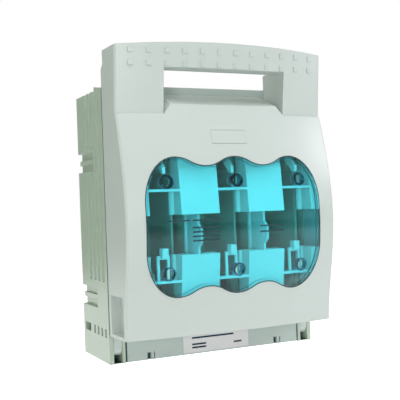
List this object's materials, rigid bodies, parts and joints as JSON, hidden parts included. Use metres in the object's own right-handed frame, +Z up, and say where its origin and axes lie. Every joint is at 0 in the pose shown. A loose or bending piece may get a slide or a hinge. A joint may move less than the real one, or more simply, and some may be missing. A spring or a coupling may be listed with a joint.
{
  "type": "fuse base",
  "caption": "Fuse base for knife-blade fuse-links: a deep moulded housing with spring contacts, and a hinged cover with a carrying handle and a tinted window.",
  "frame": {"origin": "centre of the four mounting holes, on the rear face", "axes": "+X to the right seen from the front, +Y back into the mounting plate, +Z up"},
  "size_m": [0.185, 0.1166, 0.2474],
  "materials": {
    "housing": "fine texture",
    "shroud": "fine texture",
    "plate": "satin film",
    "cover": "satin",
    "window": "clear tinted",
    "holder": "satin",
    "board": "pressed board",
    "contact": "silver plated",
    "spring": "spring temper",
    "steel": "zinc plated"
  },
  "bodies": {
    "base": {"base_housing": "housing", "lower_terminal_shroud": "shroud", "upper_terminal_shroud": "shroud", "rating_plate": "plate", "hinge_pins": "steel", "upper_contact_rivets": "steel", "lower_contact_rivets": "steel", "upper_splitter_plates": "steel", "lower_splitter_plates": "steel", "terminal_bolts": "steel", "terminal_washers": "steel", "terminal_nuts": "steel", "upper_left_terminal_bar": "contact", "upper_left_contact_finger_a": "contact", "upper_left_contact_finger_b": "contact", "upper_left_contact_spring": "spring", "upper_left_arc_frame": "board", "upper_middle_terminal_bar": "contact", "upper_middle_contact_finger_a": "contact", "upper_middle_contact_finger_b": "contact", "upper_middle_contact_spring": "spring", "upper_middle_arc_frame": "board", "upper_right_terminal_bar": "contact", "upper_right_contact_finger_a": "contact", "upper_right_contact_finger_b": "contact", "upper_right_contact_spring": "spring", "upper_right_arc_frame": "board", "lower_left_terminal_bar": "contact", "lower_left_contact_finger_a": "contact", "lower_left_contact_finger_b": "contact", "lower_left_contact_spring": "spring", "lower_left_arc_frame": "board", "lower_middle_terminal_bar": "contact", "lower_middle_contact_finger_a": "contact", "lower_middle_contact_finger_b": "contact", "lower_middle_contact_spring": "spring", "lower_middle_arc_frame": "board", "lower_right_terminal_bar": "contact", "lower_right_contact_finger_a": "contact", "lower_right_contact_finger_b": "contact", "lower_right_contact_spring": "spring", "lower_right_arc_frame": "board"},
    "cover": {"cover": "cover", "window": "window", "upper_fuse_holder": "holder", "lower_fuse_holder": "holder", "left_phase_barrier": "holder", "right_phase_barrier": "holder", "holder_screws": "steel"}
  },
  "joints": [
    {"name": "cover_hinge", "type": "hinge", "parent": "base", "child": "cover", "pos_m": [0, -0.06, -0.096], "axis": [1, 0, 0], "range_deg": [0, 85]}
  ]
}
